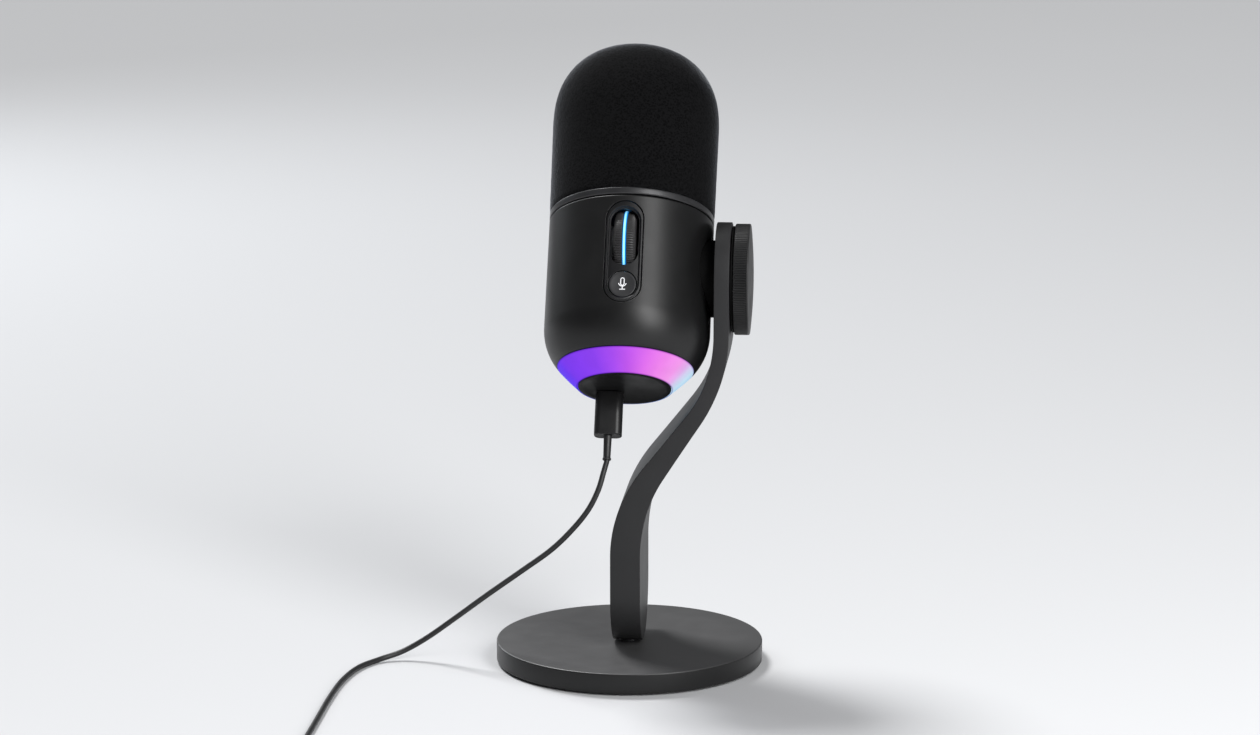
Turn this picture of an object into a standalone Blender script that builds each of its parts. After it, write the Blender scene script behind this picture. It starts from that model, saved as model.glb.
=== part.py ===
"""A desktop microphone: a capsule-shaped body with a foam windscreen, held on one side by a curved flat arm.

The arm stands on a round weighted base. The body tilts on a clamp stud that a large round knob tightens.
Sizes below are in millimetres and become metres through MM. World +Z is up and the front faces -Y. The
origin is the centre of the foot pad's underside. Heights named "height" in the body are measured along
the body's own axis, from the flat end that holds the cable socket.
"""

import math

import bmesh
import bpy
from mathutils import Matrix, Vector

MM = 0.001
GAP = 0.3

# Base
BASE_RADIUS = 54.0
BASE_UNDERSIDE = 0.8
BASE_TOP = 9.0
PAD_RADIUS = 50.0
PAD_THICKNESS = 1.6
SPACER_THICKNESS = 0.7
BASE_SCREW_SPREAD = 4.0

# Arm: a flat ribbon that runs up, leans out to the side and runs up again
ARM_WIDTH = 45.4
ARM_FOOT_THICKNESS = 12.0
ARM_HEAD_THICKNESS = 6.0
ARM_OFFSET = 37.9
ARM_LEAN = math.radians(36.0)
ARM_BEND_RADIUS = 58.6
ARM_FIRST_BEND = 48.0
ARM_TAPER_FROM = 50.0
ARM_TAPER_TO = 118.0
PIVOT_Z = 157.5

# Body
TILT_BACK = math.radians(30.6)
PIVOT_HEIGHT = 47.0
BODY_RADIUS = 33.0
BODY_TOP = 69.5
BODY_WALL = 2.6
BODY_FOOT_RADIUS = 27.2
BODY_FOOT_HEIGHT = 8.5
CURVE_RADIUS = 23.4
SOCKET_END_RADIUS = 18.5
SOCKET_X = -6.25
SOCKET_Y = 5.0

# Windscreen
RING_BOTTOM = 69.95
RING_TOP = 72.6
FOAM_RADIUS = 33.6
FOAM_DOME_HEIGHT = 111.0
FOAM_WALL = 3.0
DOME_SQUARENESS = 0.82

# Side pivot
RECESS_RADIUS = 16.0
RECESS_FLOOR = 27.6
PAD_INNER_FACE = 24.5
STUD_RADIUS = 4.0
KNOB_RADIUS = 22.15
KNOB_INNER_FACE = 42.3
KNOB_RIM_FACE = 48.2
KNOB_CROWN = 49.4
STUD_END = 46.0
CLAMP_WASHER_RADIUS = 21.2
FRICTION_WASHER_RADIUS = 15.4

# Front controls
PANEL_HEIGHT = 45.6
PANEL_SIZE = (14.3, 42.1)
PANEL_FACE = 32.8
PANEL_DIP = (12.0, 38.2)
PANEL_DIP_HEIGHT = 45.2
PANEL_DIP_FACE = 31.8
WHEEL_HEIGHT = 52.1
WHEEL_RADIUS = 14.5
WHEEL_AXIS_Y = -19.1
WHEEL_WIDTH = 9.0
BAND_WIDTH = 1.2
WHEEL_SLOT = (11.2, 23.6)
BUTTON_HEIGHT = 32.2
BUTTON_RADIUS = 5.35
AXLE_RADIUS = 1.5

# Cable
CABLE_RADIUS = 1.1
PLUG_SIZE = (11.0, 6.5, 18.0)
RELIEF_LENGTH = 10.0
RELIEF_RADIUS = 1.6
TONGUE_SIZE = (8.2, 2.4, 6.5)
COIL_CENTRE = (-94.4, -166.0)
COIL_MIDDLE_RADIUS = 13.2
COIL_ACROSS = 5
COIL_LAYERS = 4
CABLE_ROUTE = (
    (-6.25, -34.3, 89.8),
    (-7.2, -37.0, 86.3),
    (-9.1, -39.4, 79.6),
    (-13.1, -39.6, 71.5),
    (-19.7, -37.5, 62.8),
    (-28.5, -33.0, 53.4),
    (-40.5, -26.5, 43.3),
    (-56.0, -18.0, 30.5),
    (-70.0, -11.5, 18.8),
    (-82.0, -8.0, 9.4),
    (-92.0, -8.5, 3.6),
    (-101.0, -13.5, 1.3),
    (-107.5, -25.5, 1.2),
    (-111.0, -45.0, 1.2),
    (-112.0, -70.0, 1.2),
    (-112.0, -95.0, 1.2),
    (-112.0, -120.0, 1.2),
    (-112.0, -155.6, 1.2),
)

ALONG_X = (0.0, math.pi / 2, 0.0)


# ---------------------------------------------------------------- scene and materials


def clear_scene():
    for obj in list(bpy.data.objects):
        bpy.data.objects.remove(obj)


def make_collection(name):
    collection = bpy.data.collections.new(name)
    bpy.context.scene.collection.children.link(collection)
    return collection


def make_material(name, colour, roughness, metallic=0.0, glow=0.0):
    material = bpy.data.materials.new(name)
    material.use_nodes = True
    shader = material.node_tree.nodes["Principled BSDF"]
    shader.inputs["Base Color"].default_value = (*colour, 1.0)
    shader.inputs["Roughness"].default_value = roughness
    shader.inputs["Metallic"].default_value = metallic
    shader.inputs["Emission Color"].default_value = (*colour, 1.0)
    shader.inputs["Emission Strength"].default_value = glow
    material.diffuse_color = (*colour, 1.0)
    return material


clear_scene()
PARTS = make_collection("desktop_microphone")
CUTTERS = make_collection("cutters")
COATED_METAL = make_material("coated_metal", (0.045, 0.045, 0.048), 0.5, 0.4)
BODY_COAT = make_material("body_coat", (0.022, 0.022, 0.024), 0.5)
BLACK_PLASTIC = make_material("black_plastic", (0.018, 0.018, 0.02), 0.45)
FOAM = make_material("foam", (0.012, 0.012, 0.013), 0.95)
RUBBER = make_material("rubber", (0.02, 0.02, 0.02), 0.8)
STEEL = make_material("steel", (0.55, 0.56, 0.58), 0.35, 1.0)
BRASS = make_material("brass", (0.75, 0.58, 0.3), 0.35, 1.0)
BOARD = make_material("circuit_board", (0.02, 0.09, 0.05), 0.5)
DIFFUSER = make_material("diffuser", (0.6, 0.4, 0.95), 0.4, 0.0, 1.5)
BLUE_LIGHT = make_material("blue_light", (0.1, 0.45, 0.95), 0.4, 0.0, 2.0)


# ---------------------------------------------------------------- building blocks


def place(mesh, name, material, parent=None, where=(0.0, 0.0, 0.0), turn=(0.0, 0.0, 0.0)):
    """Puts a mesh in the object's collection, at a place given in millimetres under its parent."""
    obj = bpy.data.objects.new(name, mesh)
    obj.data.materials.append(material)
    PARTS.objects.link(obj)
    obj.parent = parent
    obj.location = Vector(where) * MM
    obj.rotation_euler = turn
    return obj


def as_cutter(obj):
    """Makes a placed object a helper that only shapes others."""
    PARTS.objects.unlink(obj)
    CUTTERS.objects.link(obj)
    obj.hide_render = True
    obj.display_type = "WIRE"
    return obj


def boolean(obj, tool, operation="DIFFERENCE"):
    modifier = obj.modifiers.new(operation.lower(), "BOOLEAN")
    modifier.operation = operation
    modifier.object = tool
    return obj


def round_edges(obj, width, segments=2, angle=40.0):
    modifier = obj.modifiers.new("round_edges", "BEVEL")
    modifier.width = width * MM
    modifier.segments = segments
    modifier.limit_method = "ANGLE"
    modifier.angle_limit = math.radians(angle)
    return obj


def turned(name, profile, material, steps=48, closed=False, start=0.0, **placing):
    """A profile of (radius, height) turned about its own Z. It runs down the outer side.

    start turns the first corner round by that many degrees, so that two round shapes share no corner.
    """
    mesh = bpy.data.meshes.new(name)
    begin = Matrix.Rotation(math.radians(start), 3, "Z")
    points = [begin @ Vector((radius, 0.0, height)) * MM for radius, height in profile]
    edges = [(i, i + 1) for i in range(len(points) - 1)]
    if closed:
        edges.append((len(points) - 1, 0))
    mesh.from_pydata(points, edges, [])
    obj = place(mesh, name, material, **placing)
    screw = obj.modifiers.new("turn", "SCREW")
    screw.steps = steps
    screw.render_steps = steps
    screw.use_merge_vertices = True
    screw.merge_threshold = 0.00001
    screw.use_smooth_shade = True
    return obj


def ring(name, inner, outer, low, high, material, **options):
    """A plain tube between two heights."""
    profile = [(inner, high), (outer, high), (outer, low), (inner, low)]
    return turned(name, profile, material, closed=True, **options)


def rod(name, radius, low, high, material, chamfer=0.0, **options):
    """A solid cylinder between two heights, with an optional chamfer at both ends."""
    profile = [(0.0, high), (radius - chamfer, high)]
    if chamfer:
        profile += [(radius, high - chamfer), (radius, low + chamfer)]
    profile += [(radius - chamfer, low), (0.0, low)]
    return turned(name, profile, material, **options)


def block(name, size, centre, material, **placing):
    """A box of a given size around a centre, both in millimetres."""
    shape = bmesh.new()
    bmesh.ops.create_cube(shape, size=1.0)
    bmesh.ops.scale(shape, vec=Vector(size) * MM, verts=shape.verts)
    bmesh.ops.translate(shape, vec=Vector(centre) * MM, verts=shape.verts)
    mesh = bpy.data.meshes.new(name)
    shape.to_mesh(mesh)
    shape.free()
    return place(mesh, name, material, **placing)


def slab(name, outline, depth, material, facing, **placing):
    """A flat outline with a thickness. facing is the matrix that stands the outline up."""
    curve = bpy.data.curves.new(name, "CURVE")
    curve.dimensions = "2D"
    curve.fill_mode = "BOTH"
    curve.extrude = depth * MM / 2
    spline = curve.splines.new("POLY")
    spline.points.add(len(outline) - 1)
    for point, (across, up) in zip(spline.points, outline, strict=True):
        point.co = (across * MM, up * MM, 0.0, 1.0)
    spline.use_cyclic_u = True
    drawn = bpy.data.objects.new(name + "_outline", curve)
    PARTS.objects.link(drawn)
    bpy.context.view_layer.update()
    graph = bpy.context.evaluated_depsgraph_get()
    mesh = bpy.data.meshes.new_from_object(drawn.evaluated_get(graph))
    bpy.data.objects.remove(drawn)
    shape = bmesh.new()
    shape.from_mesh(mesh)
    bmesh.ops.remove_doubles(shape, verts=shape.verts, dist=0.000001)
    bmesh.ops.transform(shape, matrix=facing, verts=shape.verts)
    bmesh.ops.recalc_face_normals(shape, faces=shape.faces)
    shape.to_mesh(mesh)
    shape.free()
    mesh.name = name
    mesh.materials.clear()
    return place(mesh, name, material, **placing)


# An outline drawn in (across, up) stands in the X-Z plane, or in the Y-Z plane.
FACING_FRONT = Matrix.Rotation(math.pi / 2, 4, "X")
FACING_SIDE = Matrix.Rotation(math.pi / 2, 4, "Z") @ FACING_FRONT


def arc(centre, radius, start, stop, pieces):
    """Points on a round stretch, angles in degrees."""
    found = []
    for i in range(pieces + 1):
        angle = math.radians(start + (stop - start) * i / pieces)
        found.append((centre[0] + radius * math.cos(angle), centre[1] + radius * math.sin(angle)))
    return found


def stadium(width, height, centre_up=0.0, pieces=10):
    """The outline of an upright slot with round ends."""
    radius = width / 2
    reach = height / 2 - radius
    upper = arc((0.0, centre_up + reach), radius, 0, 180, pieces)
    lower = arc((0.0, centre_up - reach), radius, 180, 360, pieces)
    return upper + lower


def empty(name, where, turn=(0.0, 0.0, 0.0), parent=None):
    obj = bpy.data.objects.new(name, None)
    PARTS.objects.link(obj)
    obj.parent = parent
    obj.location = Vector(where) * MM
    obj.rotation_euler = turn
    return obj


# ---------------------------------------------------------------- base and arm


def make_base():
    recess = BASE_UNDERSIDE + PAD_THICKNESS + GAP - 0.8
    edge = 0.5
    profile = [
        (0.0, BASE_TOP),
        (BASE_RADIUS - edge, BASE_TOP),
        (BASE_RADIUS, BASE_TOP - edge),
        (BASE_RADIUS, BASE_UNDERSIDE + edge),
        (BASE_RADIUS - edge, BASE_UNDERSIDE),
        (PAD_RADIUS + GAP, BASE_UNDERSIDE),
        (PAD_RADIUS + GAP, recess),
        (0.0, recess),
    ]
    base = turned("base_disc", profile, COATED_METAL, steps=60)
    rod("foot_pad", PAD_RADIUS, 0.0, PAD_THICKNESS, RUBBER, steps=60)
    for name, side in (("front", -1), ("rear", 1)):
        where = (0.0, side * BASE_SCREW_SPREAD, 0.0)
        bore = rod("cut_base_bore_" + name, 1.8, -1.0, BASE_TOP + 1, STEEL, steps=24, start=4, where=where)
        seat = rod("cut_base_seat_" + name, 3.2, -2.0, 4.6, STEEL, steps=24, start=7, where=where)
        boolean(base, as_cutter(bore))
        boolean(base, as_cutter(seat))
        make_screw("base_screw_" + name, where)


def make_screw(name, where):
    """A countersunk-free M3 screw, head down, with a hexagon socket."""
    head_low = 2.2
    head_high = 4.3
    tip = 22.0
    profile = [(0.0, tip), (1.1, tip), (1.5, tip - 0.6), (1.5, head_high)]
    profile += [(2.8, head_high), (2.8, head_low + 0.3), (2.5, head_low), (0.0, head_low)]
    screw = turned(name, profile, STEEL, steps=24, where=where)
    socket = rod("cut_" + name, 1.15, head_low - 1, head_low + 1.2, STEEL, steps=6, where=where)
    boolean(screw, as_cutter(socket))


def arm_thickness(height):
    """Full at the foot, then an even taper to the thin head."""
    share = (height - ARM_TAPER_FROM) / (ARM_TAPER_TO - ARM_TAPER_FROM)
    share = min(1.0, max(0.0, share))
    share = share * share * (3 - 2 * share)
    return ARM_FOOT_THICKNESS + (ARM_HEAD_THICKNESS - ARM_FOOT_THICKNESS) * share


def arm_centreline(top):
    """Points (x, z, lean) of the ribbon's middle: two equal bends with a straight run between."""
    bend = ARM_BEND_RADIUS
    rise = bend * math.sin(ARM_LEAN)
    aside = bend * (1 - math.cos(ARM_LEAN))
    run = (ARM_OFFSET - 2 * aside) / math.sin(ARM_LEAN)
    second_end = ARM_FIRST_BEND + 2 * rise + run * math.cos(ARM_LEAN)
    points = [(0.0, 0.0, 0.0), (0.0, ARM_FIRST_BEND, 0.0)]
    pieces = 10
    for i in range(1, pieces + 1):
        lean = ARM_LEAN * i / pieces
        points.append((bend * (1 - math.cos(lean)), ARM_FIRST_BEND + bend * math.sin(lean), lean))
    for i in range(pieces + 1):
        lean = ARM_LEAN * (1 - i / pieces)
        x = ARM_OFFSET - bend * (1 - math.cos(lean))
        points.append((x, second_end - bend * math.sin(lean), lean))
    points.append((ARM_OFFSET, top, 0.0))
    return points


def make_arm():
    """The bent profile seen from the front, trimmed by the long round-ended outline seen from the side."""
    foot_flat = BASE_TOP + GAP + SPACER_THICKNESS + GAP
    foot_end = foot_flat - 1.0
    head_end = PIVOT_Z + ARM_WIDTH / 2
    inner = []
    outer = []
    for x, z, lean in arm_centreline(head_end + 2):
        half = arm_thickness(z) / 2
        inner.append((x - half * math.cos(lean), z + half * math.sin(lean)))
        outer.append((x + half * math.cos(lean), z - half * math.sin(lean)))
    inner[0] = (inner[0][0], foot_flat)
    outer[0] = (outer[0][0], foot_flat)
    outline = outer + inner[::-1]
    arm = slab("stand_arm", outline, ARM_WIDTH + 2, COATED_METAL, FACING_FRONT)
    middle = (foot_end + head_end) / 2
    sides = stadium(ARM_WIDTH, head_end - foot_end, middle, 24)
    trim = slab("keep_arm_outline", sides, 160.0, STEEL, FACING_SIDE)
    boolean(arm, as_cutter(trim), "INTERSECT")
    hole_from = ARM_OFFSET - 10
    hole = rod("cut_arm_pivot", STUD_RADIUS + 0.5, hole_from, ARM_OFFSET + 10, STEEL, steps=32,
               where=(0.0, 0.0, PIVOT_Z), turn=ALONG_X)
    boolean(arm, as_cutter(hole))
    for name, side in (("front", -1), ("rear", 1)):
        where = (0.0, side * BASE_SCREW_SPREAD, 0.0)
        bore = rod("cut_arm_bore_" + name, 1.8, 5.0, 23.0, STEEL, steps=24, start=4, where=where)
        boolean(arm, as_cutter(bore))
    make_spacer()


def make_spacer():
    low = BASE_TOP + GAP
    outline = stadium(8.0, 13.0)
    flat = Matrix.Identity(4)
    middle = (0.0, 0.0, low + SPACER_THICKNESS / 2)
    spacer = slab("arm_spacer", outline, SPACER_THICKNESS, STEEL, flat, where=middle)
    for name, side in (("front", -1), ("rear", 1)):
        where = (0.0, side * BASE_SCREW_SPREAD, 0.0)
        bore = rod("cut_spacer_" + name, 1.8, 8.0, 12.0, STEEL, steps=24, start=4, where=where)
        boolean(spacer, as_cutter(bore))


# ---------------------------------------------------------------- clamp


def make_clamp():
    """The washer backs off along the axis, and the knob turns with its stud."""
    axis = empty("clamp_axis", (0.0, 0.0, PIVOT_Z))
    arm_face = ARM_OFFSET + ARM_HEAD_THICKNESS / 2
    ring("clamp_washer", STUD_RADIUS + 0.4, CLAMP_WASHER_RADIUS, arm_face + GAP, KNOB_INNER_FACE - GAP, STEEL,
         parent=axis, turn=ALONG_X)
    rod("clamp_stud", STUD_RADIUS, 22.5, STUD_END, STEEL, chamfer=0.6, steps=32, parent=axis, turn=ALONG_X)
    bore = STUD_RADIUS + GAP
    rise = KNOB_CROWN - KNOB_RIM_FACE
    profile = [(KNOB_RADIUS * share, KNOB_CROWN - rise * share ** 2) for share in (0.0, 0.3, 0.55, 0.8)]
    profile += [
        (KNOB_RADIUS - 0.3, KNOB_RIM_FACE + 0.1),
        (KNOB_RADIUS, KNOB_RIM_FACE - 0.2),
        (KNOB_RADIUS, KNOB_INNER_FACE + 0.4),
        (KNOB_RADIUS - 0.4, KNOB_INNER_FACE),
        (bore, KNOB_INNER_FACE),
        (bore, STUD_END + GAP),
        (0.0, STUD_END + GAP),
    ]
    turned("clamp_knob", profile, COATED_METAL, steps=60, parent=axis, turn=ALONG_X)


# ---------------------------------------------------------------- body shell and pivot


def body_profile(inset, top, foot_lift):
    """Outer side of the body, from the top down, moved inwards by inset."""
    bend_height = BODY_FOOT_HEIGHT + CURVE_RADIUS * math.sin(math.acos(
        1 - (BODY_RADIUS - BODY_FOOT_RADIUS) / CURVE_RADIUS))
    sweep = math.degrees(math.acos(1 - (BODY_RADIUS - BODY_FOOT_RADIUS) / CURVE_RADIUS))
    centre = (BODY_RADIUS - CURVE_RADIUS, bend_height)
    curve = arc(centre, CURVE_RADIUS - inset, 0, -sweep, 7)
    foot = curve[-1]
    return [(BODY_RADIUS - inset, top)] + curve + [(foot[0] - foot_lift, foot[1] - foot_lift)]


def make_shell(body):
    outside = body_profile(0.0, BODY_TOP, 0.0)
    outside = [(0.0, BODY_TOP)] + outside + [(0.0, outside[-1][1])]
    shell = turned("body_shell", outside, BODY_COAT, steps=60, parent=body, where=(0, 0, -PIVOT_HEIGHT))
    inside = body_profile(BODY_WALL, BODY_TOP + 2, 4.0)
    inside = [(0.0, BODY_TOP + 2)] + inside + [(0.0, inside[-1][1])]
    cavity = turned("cut_body_cavity", inside, STEEL, steps=40, start=2, parent=body,
                    where=(0, 0, -PIVOT_HEIGHT))
    pad = rod("keep_pivot_pad", RECESS_RADIUS + 3.0, PAD_INNER_FACE, 50.0, STEEL, steps=40,
              start=1, parent=body, turn=ALONG_X)
    boolean(cavity, as_cutter(pad))
    boolean(shell, as_cutter(cavity))
    recess = rod("cut_pivot_recess", RECESS_RADIUS, RECESS_FLOOR, 41.0, STEEL, steps=64, start=3,
                 parent=body, turn=ALONG_X)
    boolean(shell, as_cutter(recess))
    bore = rod("cut_insert_bore", 8.3, 18.0, 42.0, STEEL, steps=36, start=2, parent=body, turn=ALONG_X)
    boolean(shell, as_cutter(bore))
    width, height = PANEL_SIZE
    opening = stadium(width + 2 * GAP, height + 2 * GAP, PANEL_HEIGHT - PIVOT_HEIGHT)
    slot = slab("cut_panel_slot", opening, 14.0, STEEL, FACING_FRONT, parent=body, where=(0, -33.0, 0))
    boolean(shell, as_cutter(slot))


def make_pivot(body):
    ring("pivot_insert", STUD_RADIUS + GAP, 8.0, 20.5, RECESS_FLOOR - GAP, BRASS, steps=48, parent=body,
         turn=ALONG_X)
    arm_face = ARM_OFFSET - ARM_HEAD_THICKNESS / 2
    ring("friction_washer", STUD_RADIUS + 0.6, FRICTION_WASHER_RADIUS, RECESS_FLOOR + GAP, arm_face - GAP,
         RUBBER, steps=64, parent=body, turn=ALONG_X)


# ---------------------------------------------------------------- lower end, lights and boards


def make_lower_end(body):
    where = (0, 0, -PIVOT_HEIGHT)
    low = (SOCKET_END_RADIUS + GAP, 0.15)
    high = (BODY_FOOT_RADIUS - 0.15, BODY_FOOT_HEIGHT - 0.25)
    thick = 2.8
    profile = [(high[0] - thick, high[1]), high, low, (low[0] - 0.6, low[1] + 2.4)]
    turned("light_ring", profile, DIFFUSER, steps=48, closed=True, parent=body, where=where)
    cap = rod("bottom_cap", SOCKET_END_RADIUS - 0.7, 0.0, 2.2, BLACK_PLASTIC, chamfer=0.3, steps=48,
              parent=body, where=where)
    flat = Matrix.Identity(4)
    port = (SOCKET_X, SOCKET_Y, -PIVOT_HEIGHT)
    slot = [(y, x) for x, y in stadium(3.6, 9.6)][::-1]
    cut_port = slab("cut_socket_port", slot, 8.0, STEEL, flat, parent=body, where=port)
    boolean(cap, as_cutter(cut_port))
    socket = block("usb_socket", (9.6, 4.0, 7.4), (SOCKET_X, SOCKET_Y, 6.2), STEEL, parent=body, where=where)
    mouth = block("cut_socket_mouth", (8.8, 3.0, 7.4), (SOCKET_X, SOCKET_Y, 5.2), STEEL, parent=body,
                  where=where)
    boolean(socket, as_cutter(mouth))
    ring("led_board", 14.0, 20.0, 5.2, 6.4, BOARD, steps=48, parent=body, where=where)


def make_boards(body):
    where = (0, 0, -PIVOT_HEIGHT)
    block("chassis", (40.0, 2.0, 54.0), (0, 9.0, 39.0), STEEL, parent=body, where=where)
    block("main_board", (36.0, 1.6, 50.0), (0, 6.6, 39.0), BOARD, parent=body, where=where)
    block("control_board", (20.0, 1.6, 13.0), (0, -22.8, 31.0), BOARD, parent=body, where=where)
    block("mute_switch", (6.0, 3.6, 6.0), (0, -25.8, BUTTON_HEIGHT), BLACK_PLASTIC, parent=body, where=where)
    bulkhead = rod("bulkhead", 30.0, 67.6, 69.6, BLACK_PLASTIC, steps=64, parent=body, where=where)
    flat = block("cut_bulkhead_flat", (20.0, 80.0, 10.0), (PAD_INNER_FACE - GAP + 10, 0, 68.6), STEEL,
                 parent=body, where=where)
    boolean(bulkhead, as_cutter(flat))


# ---------------------------------------------------------------- front controls


def make_panel(body):
    """A thin curved inlay with a slot for the wheel and a round hole for the button."""
    panel = ring("control_panel", PANEL_FACE - 2.2, PANEL_FACE, 20.0 - PIVOT_HEIGHT, 70.0 - PIVOT_HEIGHT,
                 BLACK_PLASTIC, steps=120, parent=body)
    width, height = PANEL_SIZE
    outline = stadium(width, height, PANEL_HEIGHT - PIVOT_HEIGHT)
    keep = slab("keep_panel", outline, 14.0, STEEL, FACING_FRONT, parent=body, where=(0, -33.0, 0))
    boolean(panel, as_cutter(keep), "INTERSECT")
    dip_width, dip_height = PANEL_DIP
    dip = ring("cut_panel_dip", PANEL_DIP_FACE, PANEL_FACE + 3.0, 19.0 - PIVOT_HEIGHT, 71.0 - PIVOT_HEIGHT,
               STEEL, steps=120, start=1, parent=body)
    dip_outline = stadium(dip_width, dip_height, PANEL_DIP_HEIGHT - PIVOT_HEIGHT)
    keep_dip = slab("keep_panel_dip", dip_outline, 16.0, STEEL, FACING_FRONT, parent=body, where=(0, -33.0, 0))
    boolean(dip, as_cutter(keep_dip), "INTERSECT")
    boolean(panel, as_cutter(dip))
    slot_width, slot_height = WHEEL_SLOT
    slot = stadium(slot_width, slot_height, WHEEL_HEIGHT - PIVOT_HEIGHT)
    cut_slot = slab("cut_wheel_slot", slot, 16.0, STEEL, FACING_FRONT, parent=body, where=(0, -33.0, 0))
    boolean(panel, as_cutter(cut_slot))
    middle = (0, -33.0, BUTTON_HEIGHT - PIVOT_HEIGHT)
    hole = rod("cut_button_hole", BUTTON_RADIUS + GAP, -8.0, 8.0, STEEL, steps=40, parent=body,
               where=middle, turn=(math.pi / 2, 0, 0))
    boolean(panel, as_cutter(hole))


def make_wheel(body):
    """Two ribbed halves with a lit band between them, on one steel axle."""
    axis = empty("gain_wheel_axis", (0, WHEEL_AXIS_Y, WHEEL_HEIGHT - PIVOT_HEIGHT), parent=body)
    half = WHEEL_WIDTH / 2
    start = BAND_WIDTH / 2 + 0.25
    bore = AXLE_RADIUS + GAP
    right = [(bore, half), (WHEEL_RADIUS - 0.9, half), (WHEEL_RADIUS, half - 0.9),
             (WHEEL_RADIUS, start), (bore, start)]
    left = [(radius, -height) for radius, height in right[::-1]]
    turned("gain_wheel_right", right, BLACK_PLASTIC, steps=48, closed=True, parent=axis, turn=ALONG_X)
    turned("gain_wheel_left", left, BLACK_PLASTIC, steps=48, closed=True, parent=axis, turn=ALONG_X)
    ring("gain_light_band", bore, WHEEL_RADIUS - 0.1, -BAND_WIDTH / 2, BAND_WIDTH / 2, BLUE_LIGHT, steps=48,
         parent=axis, turn=ALONG_X)
    rod("gain_axle", AXLE_RADIUS, -12.0, 8.5, STEEL, steps=24, parent=axis, turn=ALONG_X)
    make_wheel_bracket(body)


def make_wheel_bracket(body):
    centre = (0, WHEEL_AXIS_Y, WHEEL_HEIGHT - PIVOT_HEIGHT)
    bracket = block("wheel_bracket", (14.4, 21.6, 15.0), (0, 5.9, 0), STEEL, parent=body, where=centre)
    inside = block("cut_wheel_bracket", (10.4, 30.0, 20.0), (0, 0.0, 0), STEEL, parent=body, where=centre)
    boolean(bracket, as_cutter(inside))
    bore = rod("cut_bracket_bore", AXLE_RADIUS + GAP, -20.0, 20.0, STEEL, steps=24, parent=body,
               where=centre, turn=ALONG_X)
    boolean(bracket, as_cutter(bore))
    encoder = block("gain_encoder", (6.0, 11.0, 12.0), (-10.6, 0, 0), BLACK_PLASTIC, parent=body,
                    where=centre)
    hole = rod("cut_encoder_bore", AXLE_RADIUS + GAP, -12.6, -5.0, STEEL, steps=24, parent=body,
               where=centre, turn=ALONG_X)
    boolean(encoder, as_cutter(hole))


def make_button(body):
    """A round key with a slightly dished face, moving straight in."""
    axis = empty("mute_button_axis", (0, 0, BUTTON_HEIGHT - PIVOT_HEIGHT), parent=body)
    face = PANEL_DIP_FACE - 0.1
    radius = BUTTON_RADIUS
    profile = [(0.0, face - 0.4), (radius * 0.5, face - 0.3), (radius - 0.9, face - 0.05), (radius - 0.4, face),
               (radius, face - 0.4), (radius, face - 2.4), (1.6, face - 2.4), (1.6, face - 3.1), (0.0, face - 3.1)]
    turned("mute_button", profile, BLACK_PLASTIC, steps=40, parent=axis, turn=(math.pi / 2, 0, 0))


# ---------------------------------------------------------------- windscreen


def dome_profile(radius, base, foot_radius, foot, pieces=10):
    """From the crown down to the foot: a slightly squared dome on a side that narrows to the foot."""
    points = []
    for i in range(pieces + 1):
        angle = math.pi / 2 * (1 - i / pieces)
        across = radius * math.cos(angle) ** DOME_SQUARENESS
        up = radius * math.sin(angle) ** DOME_SQUARENESS
        points.append((across if i else 0.0, base + up))
    points.append((foot_radius, foot))
    return points


def make_windscreen(body):
    where = (0, 0, -PIVOT_HEIGHT)
    ring("trim_ring", 30.4, BODY_RADIUS, RING_BOTTOM, RING_TOP, COATED_METAL, steps=48, parent=body, where=where)
    foot = RING_TOP + GAP
    outer = dome_profile(FOAM_RADIUS, FOAM_DOME_HEIGHT, BODY_RADIUS + 0.1, foot)
    inner = dome_profile(FOAM_RADIUS - FOAM_WALL, FOAM_DOME_HEIGHT, BODY_RADIUS + 0.1 - FOAM_WALL, foot, 7)
    turned("windscreen_foam", outer + inner[::-1], FOAM, steps=40, parent=body, where=where)
    basket_foot = BODY_TOP + 0.4
    wall = 0.9
    radius = FOAM_RADIUS - FOAM_WALL - GAP
    side = BODY_RADIUS - FOAM_WALL - GAP
    outer = dome_profile(radius, FOAM_DOME_HEIGHT, side, basket_foot, 6)
    inner = dome_profile(radius - wall, FOAM_DOME_HEIGHT, side - wall, basket_foot, 6)
    basket = turned("grille_basket", outer + inner[::-1], STEEL, steps=24, parent=body, where=where)
    for i in range(4):
        turn = (0, 0, math.pi * (i + 0.5) / 4)
        window = block(f"cut_basket_window_{i}", (80.0, 9.0, 26.0), (0, 0, 96.0), STEEL, parent=body,
                       where=where, turn=turn)
        boolean(basket, as_cutter(window))


def make_capsule(body):
    where = (0, 0, -PIVOT_HEIGHT)
    foot = BODY_TOP + 0.4
    mount = [(7.0, foot + 12), (11.0, foot + 12), (9.0, foot + 6), (14.0, foot), (7.0, foot)]
    turned("shock_mount", mount, RUBBER, steps=40, closed=True, parent=body, where=where)
    low = foot + 12 + GAP
    holder = block("capsule_holder", (24.0, 8.0, 14.0), (0, 0, low + 7.0), BLACK_PLASTIC, parent=body,
                   where=where)
    middle = (0, 0, low + 16.0 - PIVOT_HEIGHT)
    cradle = rod("cut_capsule_cradle", 9.0, -10.0, 10.0, STEEL, steps=40, parent=body, where=middle,
                 turn=(math.pi / 2, 0, 0))
    boolean(holder, as_cutter(cradle))
    rod("capsule", 8.6, -4.5, 4.5, BRASS, chamfer=0.5, steps=40, parent=body, where=middle,
        turn=(math.pi / 2, 0, 0))


# ---------------------------------------------------------------- cable


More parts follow.
